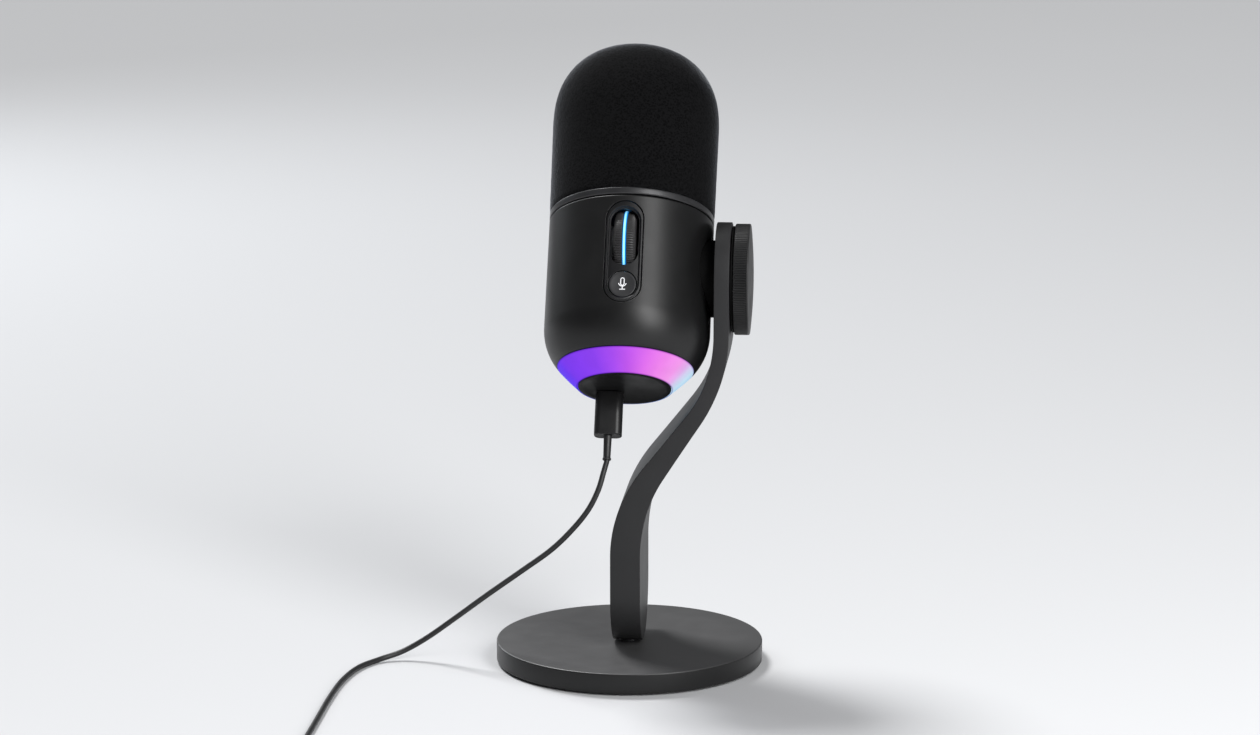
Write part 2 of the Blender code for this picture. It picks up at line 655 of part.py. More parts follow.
def make_plug(prefix, parent, where, turn):
    """An overmoulded plug that points along its own +Z, with its strain relief behind it."""
    across, deep, long = PLUG_SIZE
    body = block(prefix + "_body", PLUG_SIZE, (0, 0, -long / 2 - GAP), BLACK_PLASTIC, parent=parent,
                 where=where, turn=turn)
    round_edges(body, 0.9, 2)
    tongue_long = TONGUE_SIZE[2]
    block(prefix + "_tongue", TONGUE_SIZE, (0, 0, tongue_long / 2), STEEL, parent=parent, where=where, turn=turn)
    top = -long - 2 * GAP
    profile = [(0.0, top), (RELIEF_RADIUS + 0.3, top), (RELIEF_RADIUS, top - 1.5),
               (RELIEF_RADIUS - 0.1, top - RELIEF_LENGTH + 1.0), (RELIEF_RADIUS, top - RELIEF_LENGTH + GAP),
               (0.0, top - RELIEF_LENGTH + GAP)]
    turned(prefix + "_relief", profile, RUBBER, steps=20, parent=parent, where=where, turn=turn)


def smooth_route(route, spacing):
    """Evenly stepped points on the smooth curve through a route."""
    points = [Vector(p) for p in route]
    points = [2 * points[0] - points[1]] + points + [2 * points[-1] - points[-2]]
    found = []
    for before, start, stop, after in zip(points, points[1:], points[2:], points[3:], strict=False):
        steps = max(1, round((stop - start).length / spacing))
        for i in range(steps):
            t = i / steps
            found.append(0.5 * (2 * start + (stop - before) * t
                                + (2 * before - 5 * start + 4 * stop - after) * t ** 2
                                + (3 * start - before - 3 * stop + after) * t ** 3))
    found.append(points[-2])
    return found


def tube(name, points):
    """A round cable through a row of points."""
    curve = bpy.data.curves.new(name, "CURVE")
    curve.dimensions = "3D"
    curve.bevel_depth = CABLE_RADIUS * MM
    curve.bevel_resolution = 2
    curve.use_fill_caps = True
    spline = curve.splines.new("POLY")
    spline.points.add(len(points) - 1)
    for target, point in zip(spline.points, points, strict=True):
        target.co = (*(Vector(point) * MM), 1.0)
    curve.materials.append(RUBBER)
    PARTS.objects.link(bpy.data.objects.new(name, curve))


def make_cable():
    """The free run to the desk, the wound-up rest beside it, and the short tail to the other plug."""
    tube("usb_cable", smooth_route(CABLE_ROUTE, 6.5))
    across = COIL_ACROSS * CABLE_RADIUS + 0.3
    height = 2 * CABLE_RADIUS * COIL_LAYERS + 0.3
    x, y = COIL_CENTRE
    ring("usb_cable_coil", COIL_MIDDLE_RADIUS - across, COIL_MIDDLE_RADIUS + across, 0.05, height, RUBBER,
         steps=40, where=(x, y, 0.0))
    tail_y = y - COIL_MIDDLE_RADIUS - 2 * (COIL_ACROSS - 1) / 2 * CABLE_RADIUS
    plug_z = PLUG_SIZE[1] / 2 + 0.1
    tail = ((x + 10.6, tail_y, 7.7), (x + 15.0, tail_y, 6.7), (x + 20.0, tail_y, 4.5), (x + 25.3, tail_y, plug_z))
    tube("usb_cable_tail", smooth_route(tail, 2.5))
    make_plug("host_plug", None, (x + 54.0, tail_y, plug_z), ALONG_X_FLAT)


# Stands a piece that points along its own +Z so that it points along +X, with its wide side level.
ALONG_X_FLAT = (math.pi / 2, 0.0, math.pi / 2)


# ---------------------------------------------------------------- assembly


def main():
    make_base()
    make_arm()
    make_clamp()
    body = empty("body_tilt_axis", (0.0, 0.0, PIVOT_Z), turn=(-TILT_BACK, 0.0, 0.0))
    make_shell(body)
    make_pivot(body)
    make_lower_end(body)
    make_boards(body)
    make_panel(body)
    make_wheel(body)
    make_button(body)
    make_windscreen(body)
    make_capsule(body)
    make_plug("mic_plug", body, (SOCKET_X, SOCKET_Y, -PIVOT_HEIGHT), (0.0, 0.0, 0.0))
    make_cable()


main()
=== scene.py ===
"""Looks for the desktop microphone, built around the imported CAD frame. Sizes are in millimetres until MM."""

import math

import bmesh
import bpy
from mathutils import Matrix, Vector, noise


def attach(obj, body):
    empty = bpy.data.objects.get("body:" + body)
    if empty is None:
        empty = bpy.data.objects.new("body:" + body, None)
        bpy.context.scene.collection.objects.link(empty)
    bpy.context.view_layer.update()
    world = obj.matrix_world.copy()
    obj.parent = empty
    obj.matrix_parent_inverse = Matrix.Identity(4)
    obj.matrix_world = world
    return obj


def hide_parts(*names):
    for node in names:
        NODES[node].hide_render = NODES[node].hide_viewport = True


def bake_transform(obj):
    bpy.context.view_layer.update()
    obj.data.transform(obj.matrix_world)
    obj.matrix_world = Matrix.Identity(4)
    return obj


MM = 0.001
TAU = 2 * math.pi

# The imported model's own dimensions, as part.py has them
BASE_RADIUS, BASE_LOW, BASE_TOP, PAD_RADIUS, PAD_TOP = 54.0, 0.8, 9.0, 50.0, 1.6
ARM_WIDTH, ARM_OFFSET, ARM_LEAN, ARM_BEND = 45.4, 37.9, math.radians(36), 58.6
ARM_FIRST_BEND, ARM_FOOT_FLAT, ARM_FOOT_END = 48.0, 10.3, 9.3
ARM_FOOT_THICK, ARM_HEAD_THICK, TAPER_FROM, TAPER_TO = 12.0, 6.0, 50.0, 118.0
PIVOT_Z, PIVOT_H, TILT_BACK = 157.5, 47.0, math.radians(30.6)
BODY_RADIUS, BODY_TOP, BODY_WALL = 33.0, 69.5, 2.6
BODY_FOOT_RADIUS, BODY_FOOT_H, CURVE_RADIUS, END_RADIUS = 27.2, 8.5, 23.4, 18.5
RING_LOW, RING_TOP = 69.95, 72.6
FOAM_RADIUS, FOAM_DOME_H, FOAM_WALL, SQUARENESS = 33.6, 111.0, 3.0, 0.82
RECESS_RADIUS, RECESS_FLOOR, PAD_FACE, FRICTION_RADIUS, BORE_RADIUS = 16.0, 27.6, 24.5, 15.4, 8.3
KNOB_RADIUS, KNOB_IN, KNOB_RIM, KNOB_CROWN, WASHER_RADIUS = 22.15, 42.3, 48.2, 49.4, 21.2
STUD_RADIUS, STUD_END = 4.0, 46.0
PANEL_H, PANEL_WIDE, PANEL_TALL, PANEL_FACE = 45.6, 14.3, 42.1, 32.8
DIP_H, DIP_WIDE, DIP_TALL, DIP_FACE = 45.2, 12.0, 38.2, 31.8
WHEEL_H, WHEEL_RADIUS, WHEEL_Y, WHEEL_WIDE, BAND_WIDE = 52.1, 14.5, -19.1, 9.0, 1.2
SLOT_WIDE, SLOT_TALL, BUTTON_H, BUTTON_RADIUS, GAP = 11.2, 23.6, 32.2, 5.35, 0.3
LIT_LOW, LIT_HIGH = 0.15, BODY_FOOT_H - 0.25
SOCKET_X, SOCKET_Y = -6.25, 5.0
CABLE_RADIUS = 1.1
PLUG_WIDE, PLUG_DEEP, PLUG_LONG = 11.0, 6.5, 18.0
RELIEF_LONG, RELIEF_RADIUS, HOST_PLUG_X = 10.0, 1.6, 54.0
COIL_X, COIL_Y, COIL_MIDDLE, COIL_ACROSS, COIL_LAYERS, COIL_LOW = -94.4, -166.0, 13.2, 5, 4, 1.2
CABLE_ROUTE = (
    (-6.25, -34.3, 89.8), (-7.2, -37.0, 86.3), (-9.1, -39.4, 79.6), (-13.1, -39.6, 71.5),
    (-19.7, -37.5, 62.8), (-28.5, -33.0, 53.4), (-40.5, -26.5, 43.3), (-56.0, -18.0, 30.5),
    (-70.0, -11.5, 18.8), (-82.0, -8.0, 9.4), (-92.0, -8.5, 3.6), (-101.0, -13.5, 1.3),
    (-107.5, -25.5, 1.2), (-111.0, -45.0, 1.2), (-112.0, -70.0, 1.2), (-112.0, -95.0, 1.2),
    (-112.0, -120.0, 1.2), (-112.0, -155.6, 1.2),
)

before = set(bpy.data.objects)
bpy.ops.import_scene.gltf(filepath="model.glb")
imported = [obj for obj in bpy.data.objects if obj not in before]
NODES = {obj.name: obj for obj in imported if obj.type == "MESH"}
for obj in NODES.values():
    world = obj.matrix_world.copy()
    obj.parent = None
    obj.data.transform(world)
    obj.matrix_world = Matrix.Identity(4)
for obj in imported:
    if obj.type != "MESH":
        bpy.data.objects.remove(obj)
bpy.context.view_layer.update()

# BODY: local +Z runs up the tilted body from the pivot's height, and local -Y is its front.
# PIVOT: local +Z is the tilt's axis, outwards through the knob.
BODY = Matrix.Translation((0, 0, PIVOT_Z * MM)) @ Matrix.Rotation(-TILT_BACK, 4, "X")
ALONG_X = Matrix.Rotation(math.pi / 2, 4, "Y")
PIVOT = Matrix.Translation((0, 0, PIVOT_Z * MM)) @ ALONG_X
OUT_FRONT = Matrix.Rotation(math.pi / 2, 4, "X")


# ------------------------------------------------------------------ materials


def nodes_of(name):
    """A new material, its node tree, its shader and its object coordinates."""
    material = bpy.data.materials.new(name)
    material.use_nodes = True
    tree = material.node_tree
    where = tree.nodes.new("ShaderNodeTexCoord").outputs["Object"]
    return material, tree, tree.nodes["Principled BSDF"], where


def feed(node, **inputs):
    """Sets a node's sockets and settings by name. An output given for a socket is linked to it."""
    for key, value in inputs.items():
        name = key.replace("_", " ")
        if name not in node.inputs:
            setattr(node, key, value)
        elif isinstance(value, bpy.types.NodeSocket):
            node.id_data.links.new(value, node.inputs[name])
        else:
            node.inputs[name].default_value = value
    return node


def add(tree, kind, **inputs):
    """A new node, set and linked as feed does."""
    return feed(tree.nodes.new(kind), **inputs)


def cloud(tree, where, size, detail, **inputs):
    """The outputs of a noise with patches of about this size in millimetres."""
    return add(tree, "ShaderNodeTexNoise", Vector=where, Scale=1 / MM / size, Detail=detail, **inputs).outputs


def times(tree, first, second):
    """Two colours multiplied."""
    mix = add(tree, "ShaderNodeMixRGB", blend_type="MULTIPLY", Fac=1.0, Color1=first, Color2=second)
    return mix.outputs["Color"]


def bumps(tree, height, strength, depth):
    """A surface normal moved by a height, with the depth in millimetres."""
    bump = add(tree, "ShaderNodeBump", Height=height, Strength=strength, Distance=depth * MM)
    return bump.outputs["Normal"]


def ramp(tree, stops, source):
    """Colours between stops of (place, colour), by the value of source."""
    node = add(tree, "ShaderNodeValToRGB", Fac=source)
    elements = node.color_ramp.elements
    while len(elements) < len(stops):
        elements.new(1.0)
    for element, (place, colour) in zip(elements, stops, strict=True):
        element.position = place
        element.color = (*colour, 1.0)
    return node.outputs["Color"]


def grey(tone):
    return tone, tone, tone


def surface(name, colour, roughness, metallic=0.0, grain=0.25, depth=0.02, mottle=0.1, rough_span=0.06,
            **sockets):
    """A moulded, coated or drawn surface: fine grain in the bump, slow patches in colour and gloss.

    grain and depth are in millimetres, mottle is the share by which the colour wanders.
    """
    material, tree, shader, where = nodes_of(name)
    slow = cloud(tree, where, 9.0, 3.0)["Fac"]
    fine = cloud(tree, where, grain, 2.0, Roughness=0.6)["Fac"]
    low, high = ([c * (1 + change) for c in colour] for change in (-mottle, mottle))
    gloss = add(tree, "ShaderNodeMapRange", Value=slow, From_Min=0.3, From_Max=0.7,
                To_Min=roughness - rough_span, To_Max=roughness + rough_span)
    feed(shader, Base_Color=ramp(tree, ((0.3, low), (0.7, high)), slow), Roughness=gloss.outputs["Result"],
         Normal=bumps(tree, fine, 0.6, depth), Metallic=metallic, **sockets)
    return material


def paint_shade_on_upright_faces(material, share):
    """Paints shade into a coat: faces that stand upright in the piece's own frame are darkened, so that a rim
    reads as shaded.
    """
    tree = material.node_tree
    normal = tree.nodes.new("ShaderNodeTexCoord").outputs["Normal"]
    upward = add(tree, "ShaderNodeSeparateXYZ", Vector=normal).outputs["Z"]
    tone = ramp(tree, ((0.35, grey(share)), (0.85, grey(1.0))), upward)
    colour = tree.nodes["Principled BSDF"].inputs["Base Color"]
    tree.links.new(times(tree, colour.links[0].from_socket, tone), colour)
    return material


def foam_material():
    """Open-cell foam: pores painted darker than the threads as shade in the cells, and a soft sheen at grazing
    angles.
    """
    material, tree, shader, where = nodes_of("open_cell_foam_shaded_pores")
    bend = cloud(tree, where, 1.6, 2.0)["Color"]
    bent = add(tree, "ShaderNodeMixRGB", blend_type="LINEAR_LIGHT", Fac=0.0006, Color1=where, Color2=bend)
    cells = add(tree, "ShaderNodeTexVoronoi", feature="SMOOTH_F1", Vector=bent.outputs["Color"],
                Scale=1 / MM / 0.8, Smoothness=0.4)
    height = add(tree, "ShaderNodeMath", operation="ADD", Value=cells.outputs["Distance"])
    tree.links.new(cloud(tree, where, 0.45, 3.0, Roughness=0.7)["Fac"], height.inputs[1])
    # Colour follows the cells' height: the pores are painted darker, as shade.
    pore_painted_shade, wall, thread = (0.0004, 0.0004, 0.0005), (0.0015, 0.0015, 0.0017), (0.005, 0.005, 0.0054)
    colour = ramp(tree, ((0.45, pore_painted_shade), (0.85, wall), (1.0, thread)), height.outputs["Value"])
    feed(shader, Base_Color=colour, Normal=bumps(tree, height.outputs["Value"], 0.7, 0.1), Roughness=0.95,
         Specular_IOR_Level=0.08, Sheen_Weight=0.5, Sheen_Roughness=0.24, Sheen_Tint=(0.75, 0.78, 0.85, 1.0))
    return material


# Stops round the ring, from its -X side and on by its front, and stops from its lower edge to its upper one
RING_COLOURS = (
    (0.0, (0.12, 0.03, 0.95)),
    (0.04, (0.15, 0.033, 0.94)),
    (0.07, (0.205, 0.038, 0.92)),
    (0.18, (0.28, 0.055, 0.92)),
    (0.23, (0.41, 0.075, 0.92)),
    (0.27, (0.57, 0.1, 0.91)),
    (0.32, (0.79, 0.17, 0.9)),
    (0.365, (0.92, 0.25, 0.9)),
    (0.42, (0.93, 0.34, 0.88)),
    (0.45, (0.8, 0.46, 0.89)),
    (0.475, (0.68, 0.68, 0.93)),
    (0.51, (0.58, 0.8, 0.96)),
    (0.68, (0.25, 0.6, 0.98)),
    (0.82, (0.12, 0.3, 0.96)),
    (1.0, (0.12, 0.03, 0.95)),
)
RING_EDGES = (
    (0.0, (0.2, 0.1, 0.35)),
    (0.03, (0.8, 0.75, 0.85)),
    (0.06, (1, 1, 1)),
    (0.93, (1, 1, 1)),
    (0.975, (0.75, 0.65, 0.8)),
    (1.0, (0.15, 0.08, 0.3)),
)


def light_ring_material():
    """A frosted diffuser lit from inside: the colour runs round the ring and dims at both its edges."""
    material, tree, shader, where = nodes_of("lit_diffuser")
    around = add(tree, "ShaderNodeTexGradient", gradient_type="RADIAL", Vector=where)
    colour = ramp(tree, RING_COLOURS, around.outputs["Fac"])
    up = add(tree, "ShaderNodeSeparateXYZ", Vector=where).outputs["Z"]
    across = add(tree, "ShaderNodeMapRange", Value=up, From_Min=(LIT_LOW - PIVOT_H) * MM,
                 From_Max=(LIT_HIGH - PIVOT_H) * MM)
    edges = ramp(tree, RING_EDGES, across.outputs["Result"])
    haze = ramp(tree, ((0.3, grey(0.93)), (0.7, grey(1.0))), cloud(tree, where, 7, 2.0)["Fac"])
    lit = times(tree, times(tree, colour, edges), haze)
    feed(shader, Emission_Color=lit, Base_Color=times(tree, lit, (*grey(0.06), 1.0)), Emission_Strength=0.92,
         Specular_IOR_Level=0.08, Roughness=0.6)
    return material


def blue_light_material():
    """The lit band: a pale core between deeper blue edges, across the wheel's own axis."""
    material, tree, shader, where = nodes_of("lit_blue_band")
    along = add(tree, "ShaderNodeSeparateXYZ", Vector=where).outputs["Z"]
    side = add(tree, "ShaderNodeMath", operation="ABSOLUTE", Value=along)
    span = add(tree, "ShaderNodeMapRange", Value=side.outputs["Value"], From_Min=0.0,
               From_Max=BAND_WIDE / 2 * MM)
    colour = ramp(tree, ((0.0, (0.28, 0.68, 1.0)), (0.45, (0.2, 0.6, 0.98)), (0.8, (0.02, 0.27, 0.7)),
                         (1.0, (0.0, 0.13, 0.4))), span.outputs["Result"])
    feed(shader, Emission_Color=colour, Base_Color=colour, Emission_Strength=1.0, Roughness=0.4)
    return material


def circuit_board_material():
    """Green solder mask with a faint grid of tracks."""
    material, tree, shader, where = nodes_of("circuit_board")
    tracks = add(tree, "ShaderNodeTexBrick", Vector=where, Scale=260.0, Mortar_Size=0.03,
                 Color1=(0.012, 0.075, 0.03, 1), Color2=(0.018, 0.1, 0.045, 1), Mortar=(0.03, 0.17, 0.08, 1))
    feed(shader, Base_Color=tracks.outputs["Color"], Roughness=0.35)
    return material


COATS = {
    # The base's upright rim is painted darker, as shade.
    "stand": paint_shade_on_upright_faces(
        surface("stand_powder_coat_rim_shade", (0.118, 0.118, 0.119), 0.42, 0.6, grain=0.35, depth=0.01, mottle=0.02,
                rough_span=0.015), 0.2),
    "rubber": surface("matte_rubber", (0.012, 0.012, 0.0125), 0.8, grain=0.5, depth=0.03),
    "arm": surface("arm_powder_coat", (0.034, 0.034, 0.035), 0.47, 0.15, grain=0.35, depth=0.01, mottle=0.03,
                   rough_span=0.02, Specular_IOR_Level=0.25, Specular_Tint=(0.5, 0.5, 0.5, 1.0)),
    "knob": surface("knob_coat", (0.017, 0.017, 0.0175), 0.48, grain=0.3, depth=0.01,
                    Specular_IOR_Level=0.25),
    "body": surface("soft_matte_shell", (0.006, 0.006, 0.0062), 0.4, grain=0.22, depth=0.01, mottle=0.05,
                    rough_span=0.02, Specular_IOR_Level=0.38),
    "trim": surface("trim_coat", (0.036, 0.036, 0.038), 0.36, 0.4, depth=0.008),
    "panel": surface("inlay_plastic", (0.008, 0.008, 0.0088), 0.42, grain=0.2, depth=0.006,
                     Specular_IOR_Level=0.35),
    "wheel": surface("wheel_plastic", (0.03, 0.029, 0.03), 0.42, grain=0.2, depth=0.006),
    "button": surface("button_plastic", (0.022, 0.022, 0.0235), 0.42, grain=0.2, depth=0.006),
    "cap": surface("cap_plastic", (0.006, 0.006, 0.0062), 0.5, grain=0.3, depth=0.01,
                   Specular_IOR_Level=0.12),
    "plug": surface("plug_overmould", (0.009, 0.009, 0.0094), 0.42, grain=0.3, depth=0.01,
                    Specular_IOR_Level=0.4),
    "sheath": surface("cable_sheath", (0.014, 0.014, 0.0145), 0.5, grain=0.4, depth=0.015),
    # Near-black coat for the washers: painted shade standing in for the dark slits at the pivot.
    "slit_shade": surface("slit_painted_shade_black", grey(0.003), 0.7, grain=0.4, depth=0.01, Specular_IOR_Level=0.1),
    "steel": surface("plain_steel", (0.5, 0.51, 0.53), 0.34, 1.0, grain=0.15, depth=0.006),
    "dark_steel": surface("blackened_steel", (0.03, 0.03, 0.032), 0.4, 0.7, grain=0.2, depth=0.008),
    "grille": surface("grille_steel", (0.1, 0.1, 0.105), 0.4, 0.9, grain=0.2, depth=0.01),
    "brass": surface("turned_brass", (0.72, 0.52, 0.25), 0.3, 1.0, grain=0.15, depth=0.006),
    "inner": surface("inner_plastic", grey(0.025), 0.5, grain=0.3, depth=0.01),
    # The print is given a weak emission, a painted glow: the mark is no lamp.
    "glowing_print": surface("pale_print_painted_glow", (0.75, 0.75, 0.77), 0.5, grain=0.15, depth=0.002, mottle=0.03,
                     Emission_Color=(0.8, 0.8, 0.82, 1.0), Emission_Strength=0.3),
    "foam": foam_material(),
    "ring": light_ring_material(),
    "blue": blue_light_material(),
    "board": circuit_board_material(),
}


# ------------------------------------------------------------------ mesh tools


def piece(name, points, faces, coat, matrix=None, sharp=35.0):
    """A mesh piece from points in millimetres, shaded smooth with sharp edges kept."""
    mesh = bpy.data.meshes.new(name)
    mesh.from_pydata([Vector(p) * MM for p in points], [], faces)
    mesh.validate()
    obj = bpy.data.objects.new(name, mesh)
    bpy.context.scene.collection.objects.link(obj)
    obj.data.materials.append(COATS[coat])
    if matrix is not None:
        obj.matrix_world = matrix
    tidy(obj, sharp)
    return obj


def tidy(obj, sharp=35.0):
    """Welds, turns the faces outwards and sets the shading."""
    shape = bmesh.new()
    shape.from_mesh(obj.data)
    bmesh.ops.remove_doubles(shape, verts=shape.verts, dist=0.0015 * MM)
    bmesh.ops.recalc_face_normals(shape, faces=shape.faces)
    shape.to_mesh(obj.data)
    shape.free()
    obj.data.shade_smooth()
    obj.data.set_sharp_from_angle(angle=math.radians(sharp))


def bands(rows, closed=False):
    """The faces between each row of point numbers and the next. A row of one point is a tip."""
    faces = []
    for upper, lower in zip(rows, rows[1:] + rows[:1] if closed else rows[1:], strict=False):
        count = max(len(upper), len(lower))
        for k in range(count):
            n = (k + 1) % count
            corners = [upper[k % len(upper)], lower[k % len(lower)],
                       lower[n % len(lower)], upper[n % len(upper)]]
            faces.append(list(dict.fromkeys(corners)))
    return faces


def skin(name, rings, coat, matrix=None, sharp=35.0, closed=False, ends=False):
    """A piece over rings of points. closed joins the last ring to the first, and ends puts a face on both."""
    points = []
    rows = []
    for ring in rings:
        rows.append(list(range(len(points), len(points) + len(ring))))
        points += ring
    faces = [rows[0][::-1], rows[-1]] if ends else []
    return piece(name, points, faces + bands(rows, closed), coat, matrix, sharp)


def lathe(name, profile, coat, steps, closed=False, matrix=None, warp=None, sharp=35.0, start=0.0):
    """A profile of (radius, height) turned about local Z. warp changes a point, given its angle and row."""
    rings = []
    for row, (radius, height) in enumerate(profile):
        ring = []
        for k in range(steps if radius > 0 else 1):
            angle = start + TAU * k / steps
            r, z = (radius, height) if warp is None else warp(radius, height, angle, row)
            ring.append((r * math.cos(angle), r * math.sin(angle), z))
        rings.append(ring)
    return skin(name, rings, coat, matrix, sharp, closed)


def slab(name, outline, low, high, coat, matrix=None, mouth=None):
    """A flat outline in local X-Y, from low to high along local Z, where it is mouth if that is given."""
    rings = [[(x, y, low) for x, y in outline], [(x, y, high) for x, y in mouth or outline]]
    return skin(name, rings, coat, matrix, ends=True)


def bake(obj):
    """Replaces a piece's mesh by the one its modifiers make."""
    made = bpy.data.meshes.new_from_object(obj.evaluated_get(bpy.context.evaluated_depsgraph_get()))
    obj.modifiers.clear()
    old = obj.data
    obj.data = made
    made.name = obj.name
    bpy.data.meshes.remove(old)


def cut(obj, *tools):
    """Cuts each tool in turn out of a piece, and removes the tools."""
    for tool in tools:
        modifier = obj.modifiers.new("shape", "BOOLEAN")
        modifier.operation = "DIFFERENCE"
        modifier.object = tool
        bake(obj)
        bpy.data.objects.remove(tool)
    keep = obj.data.materials[0]
    obj.data.materials.clear()
    obj.data.materials.append(keep)
    for face in obj.data.polygons:
        face.material_index = 0
    tidy(obj)


def soften(obj, width, angle, clamp=True):
    """Rounds the sharp edges of a piece."""
    modifier = obj.modifiers.new("soften", "BEVEL")
    modifier.width = width * MM
    modifier.segments = 3
    modifier.limit_method = "ANGLE"
    modifier.angle_limit = math.radians(angle)
    modifier.use_clamp_overlap = clamp
    modifier.harden_normals = True


def arc(x, y, radius, start, stop, pieces):
    """Points on a round stretch, angles in degrees."""
    angles = [math.radians(start + (stop - start) * i / pieces) for i in range(pieces + 1)]
    return [(x + radius * math.cos(a), y + radius * math.sin(a)) for a in angles]


def circle(radius, start, pieces, up=0.0):
    """A closed round outline. start keeps its corners off those of other pieces that it cuts or meets."""
    return arc(0, up, radius, start, start + 360, pieces)[:-1]


def eased(share):
    """From 0 to 1 with a soft start and stop."""
    share = min(1.0, max(0.0, share))
    return share * share * (3 - 2 * share)


def stadium(width, height, up=0.0, pieces=32):
    """An upright slot outline with round ends."""
    radius = width / 2
    reach = height / 2 - radius
    return arc(0, up + reach, radius, 0, 180, pieces) + arc(0, up - reach, radius, 180, 360, pieces)


def finish_piece(obj, body, slot, *replaced):
    """Gives a piece its body and hides the CAD nodes that it stands for. The slot is not used."""
    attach(obj, body)
    if replaced:
        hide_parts(*replaced)
    return obj


# ------------------------------------------------------------------ camera


def make_camera():
    camera = bpy.data.cameras.new("camera")
    camera.lens = 99.76
    camera.sensor_width = 36.0
    camera.clip_start = 0.05
    camera.clip_end = 50.0
    obj = bpy.data.objects.new("camera", camera)
    bpy.context.scene.collection.objects.link(obj)
    place, aim = Vector((0.11115, -1.37, 0.3873)), Vector((0.0002, 0.0, 0.12108))
    obj.location = place
    obj.rotation_euler = (place - aim).to_track_quat("Z", "Y").to_euler()
    bpy.context.scene.camera = obj


make_camera()


# ------------------------------------------------------------------ cable


def through(route, spacing):
    """Evenly stepped points on the smooth curve through a route."""
    points = [Vector(p) for p in route]
    points = [2 * points[0] - points[1]] + points + [2 * points[-1] - points[-2]]
    found = []
    for before, start, stop, after in zip(points, points[1:], points[2:], points[3:], strict=False):
        steps = max(1, round((stop - start).length / spacing))
        for i in range(steps):
            t = i / steps
            found.append(0.5 * (2 * start + (stop - before) * t
                                + (2 * before - 5 * start + 4 * stop - after) * t ** 2
                                + (3 * start - before - 3 * stop + after) * t ** 3))
    found.append(points[-2])
    return found


def coil_points():
    """Turns side by side in layers: inwards, outwards, and so on. Each steps over in its last stretch."""
    radii = [COIL_MIDDLE + 2 * CABLE_RADIUS * (i - (COIL_ACROSS - 1) / 2) for i in range(COIL_ACROSS)]
    turns = []
    for layer in range(COIL_LAYERS):
        order = radii[::-1] if layer % 2 == 0 else radii
        turns += [(radius, COIL_LOW + 2 * CABLE_RADIUS * layer) for radius in order]
    turns.append(turns[-1])
    steps, extra, step_over_from = 40, 11, 0.78
    found = []

    def put(radius, height, step):
        angle = math.pi + TAU * step / steps
        found.append(Vector((COIL_X + radius * math.cos(angle), COIL_Y + radius * math.sin(angle), height)))

    for (radius, height), (next_radius, next_height) in zip(turns, turns[1:], strict=False):
        for i in range(steps):
            over = eased((i / steps - step_over_from) / (1 - step_over_from))
            put(radius + (next_radius - radius) * over, height + (next_height - height) * over, i)
    for i in range(extra):
        put(*turns[-1], i)
    return found


def tube(name, points, radius, coat, sides=12):
    """A round tube with closed ends, whose rings don't twist."""
    rings = []
    normal = Vector((1, 0, 0))
    last = len(points) - 1
    turns = [TAU * k / sides for k in range(sides)]
    for i, point in enumerate(points):
        ahead = (points[min(i + 1, last)] - points[max(i - 1, 0)]).normalized()
        normal = (normal - normal.dot(ahead) * ahead).normalized()
        side = ahead.cross(normal)
        rings.append([point + radius * (normal * math.cos(turn) + side * math.sin(turn)) for turn in turns])
    return skin(name, rings, coat, sharp=50.0, ends=True)


def rounded_plug(name, matrix):
    """The overmoulded body: a rounded bar with small rounds at both ends."""
    corner, end = 2.6, -PLUG_LONG
    half_x, half_y = PLUG_WIDE / 2 - corner, PLUG_DEEP / 2 - corner
    corners = (half_x, half_y, 0), (-half_x, half_y, 90), (-half_x, -half_y, 180), (half_x, -half_y, 270)
    rings = []
    for z, inset in ((-0.3, 0.35), (-0.32, 0.12), (-0.45, 0.0), (end / 2, 0.0), (end + 0.4, 0.0),
                     (end + 0.1, 0.1), (end - 0.02, 0.35), (end, 0.8)):
        rings.append([(x, y, z) for middle_x, middle_y, start in corners
                      for x, y in arc(middle_x, middle_y, corner - inset, start, start + 90, 12)])
    return skin(name, rings, "plug", matrix, sharp=60.0, ends=True)


def relief(name, matrix):
    """The sleeve behind the plug, with a small lip at its end."""
    top, end, radius = -PLUG_LONG - 0.05, -PLUG_LONG - RELIEF_LONG, RELIEF_RADIUS
    profile = [(0, top), (radius + 0.1, top), (radius + 0.1, top - 0.4), (radius, top - 1.0),
               (radius - 0.15, end + 1.0), (radius + 0.08, end + 0.75), (radius + 0.12, end + 0.5),
               (radius + 0.08, end + 0.15), (radius - 0.1, end), (0, end)]
    return lathe(name, profile, "sheath", 40, matrix=matrix)


def make_plug(end, body, matrix):
    """A plug's moulded shell and its sleeve, for the end of the cable that the CAD's names start with."""
    shell = finish_piece(rounded_plug(end + "_shell", matrix), body, "plug_plastic", end + "_body")
    sleeve = finish_piece(relief(end + "_sleeve", matrix), body, "cable_sheath", end + "_relief")
    return shell, sleeve


